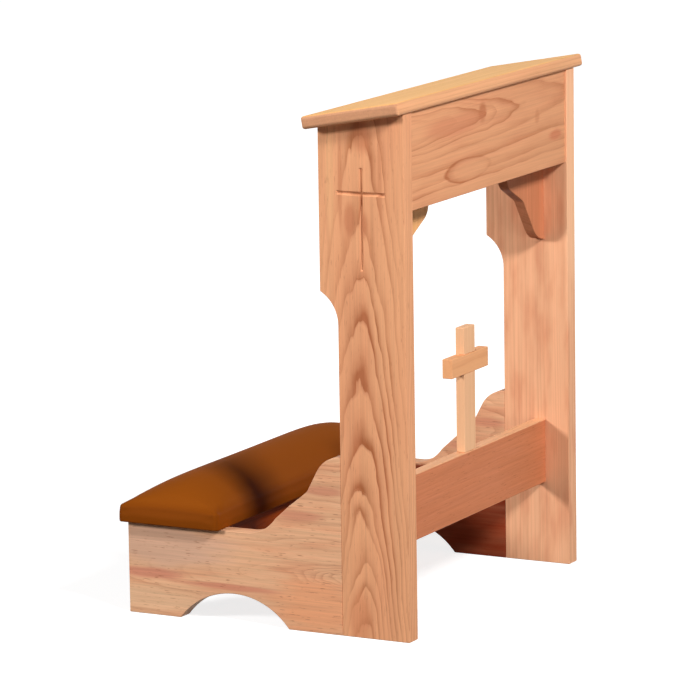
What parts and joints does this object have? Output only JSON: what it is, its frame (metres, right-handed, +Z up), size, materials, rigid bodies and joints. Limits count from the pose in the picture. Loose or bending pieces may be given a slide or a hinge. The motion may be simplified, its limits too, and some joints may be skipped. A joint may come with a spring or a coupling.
{
  "type": "prie-dieu",
  "caption": "Free-standing oak prie-dieu with a sloping desk top, coved uprights, book shelf on ogee brackets, a small standing cross and a padded kneeler on shaped sides.",
  "frame": {"origin": "on the floor, under the middle of the whole piece", "axes": "+X across the desk, +Y from the desk to the kneeler at the rear, +Z up"},
  "size_m": [0.645, 0.5044, 0.8228],
  "materials": {
    "oak": "satin lacquer",
    "oak_light": "satin lacquer",
    "birch": "sanded",
    "foam": "open-cell foam",
    "vinyl": "smooth vinyl",
    "steel": "zinc plated"
  },
  "bodies": {
    "root": {"left_upright": "oak", "right_upright": "oak", "apron": "oak", "book_shelf": "oak", "left_bracket": "oak", "right_bracket": "oak", "front_rail": "oak", "kneeler_front_rail": "oak", "kneeler_rear_rail": "oak", "left_top_cleat": "oak", "right_top_cleat": "oak", "left_pad_cleat": "oak", "right_pad_cleat": "oak", "left_kneeler_side": "oak_light", "right_kneeler_side": "oak_light", "desk_top": "oak_light", "cross_post": "oak_light", "cross_arm": "oak_light", "kneeler_board": "birch", "side_joint_dowels": "birch", "rail_dowels": "birch", "apron_dowels": "birch", "bracket_dowels": "birch", "cross_dowel": "birch", "kneeler_rail_dowels": "birch", "kneeler_foam": "foam", "kneeler_cover": "vinyl", "top_cleat_screws": "steel", "desk_top_screws": "steel", "pad_cleat_screws": "steel", "pad_screws": "steel"}
  },
  "joints": []
}
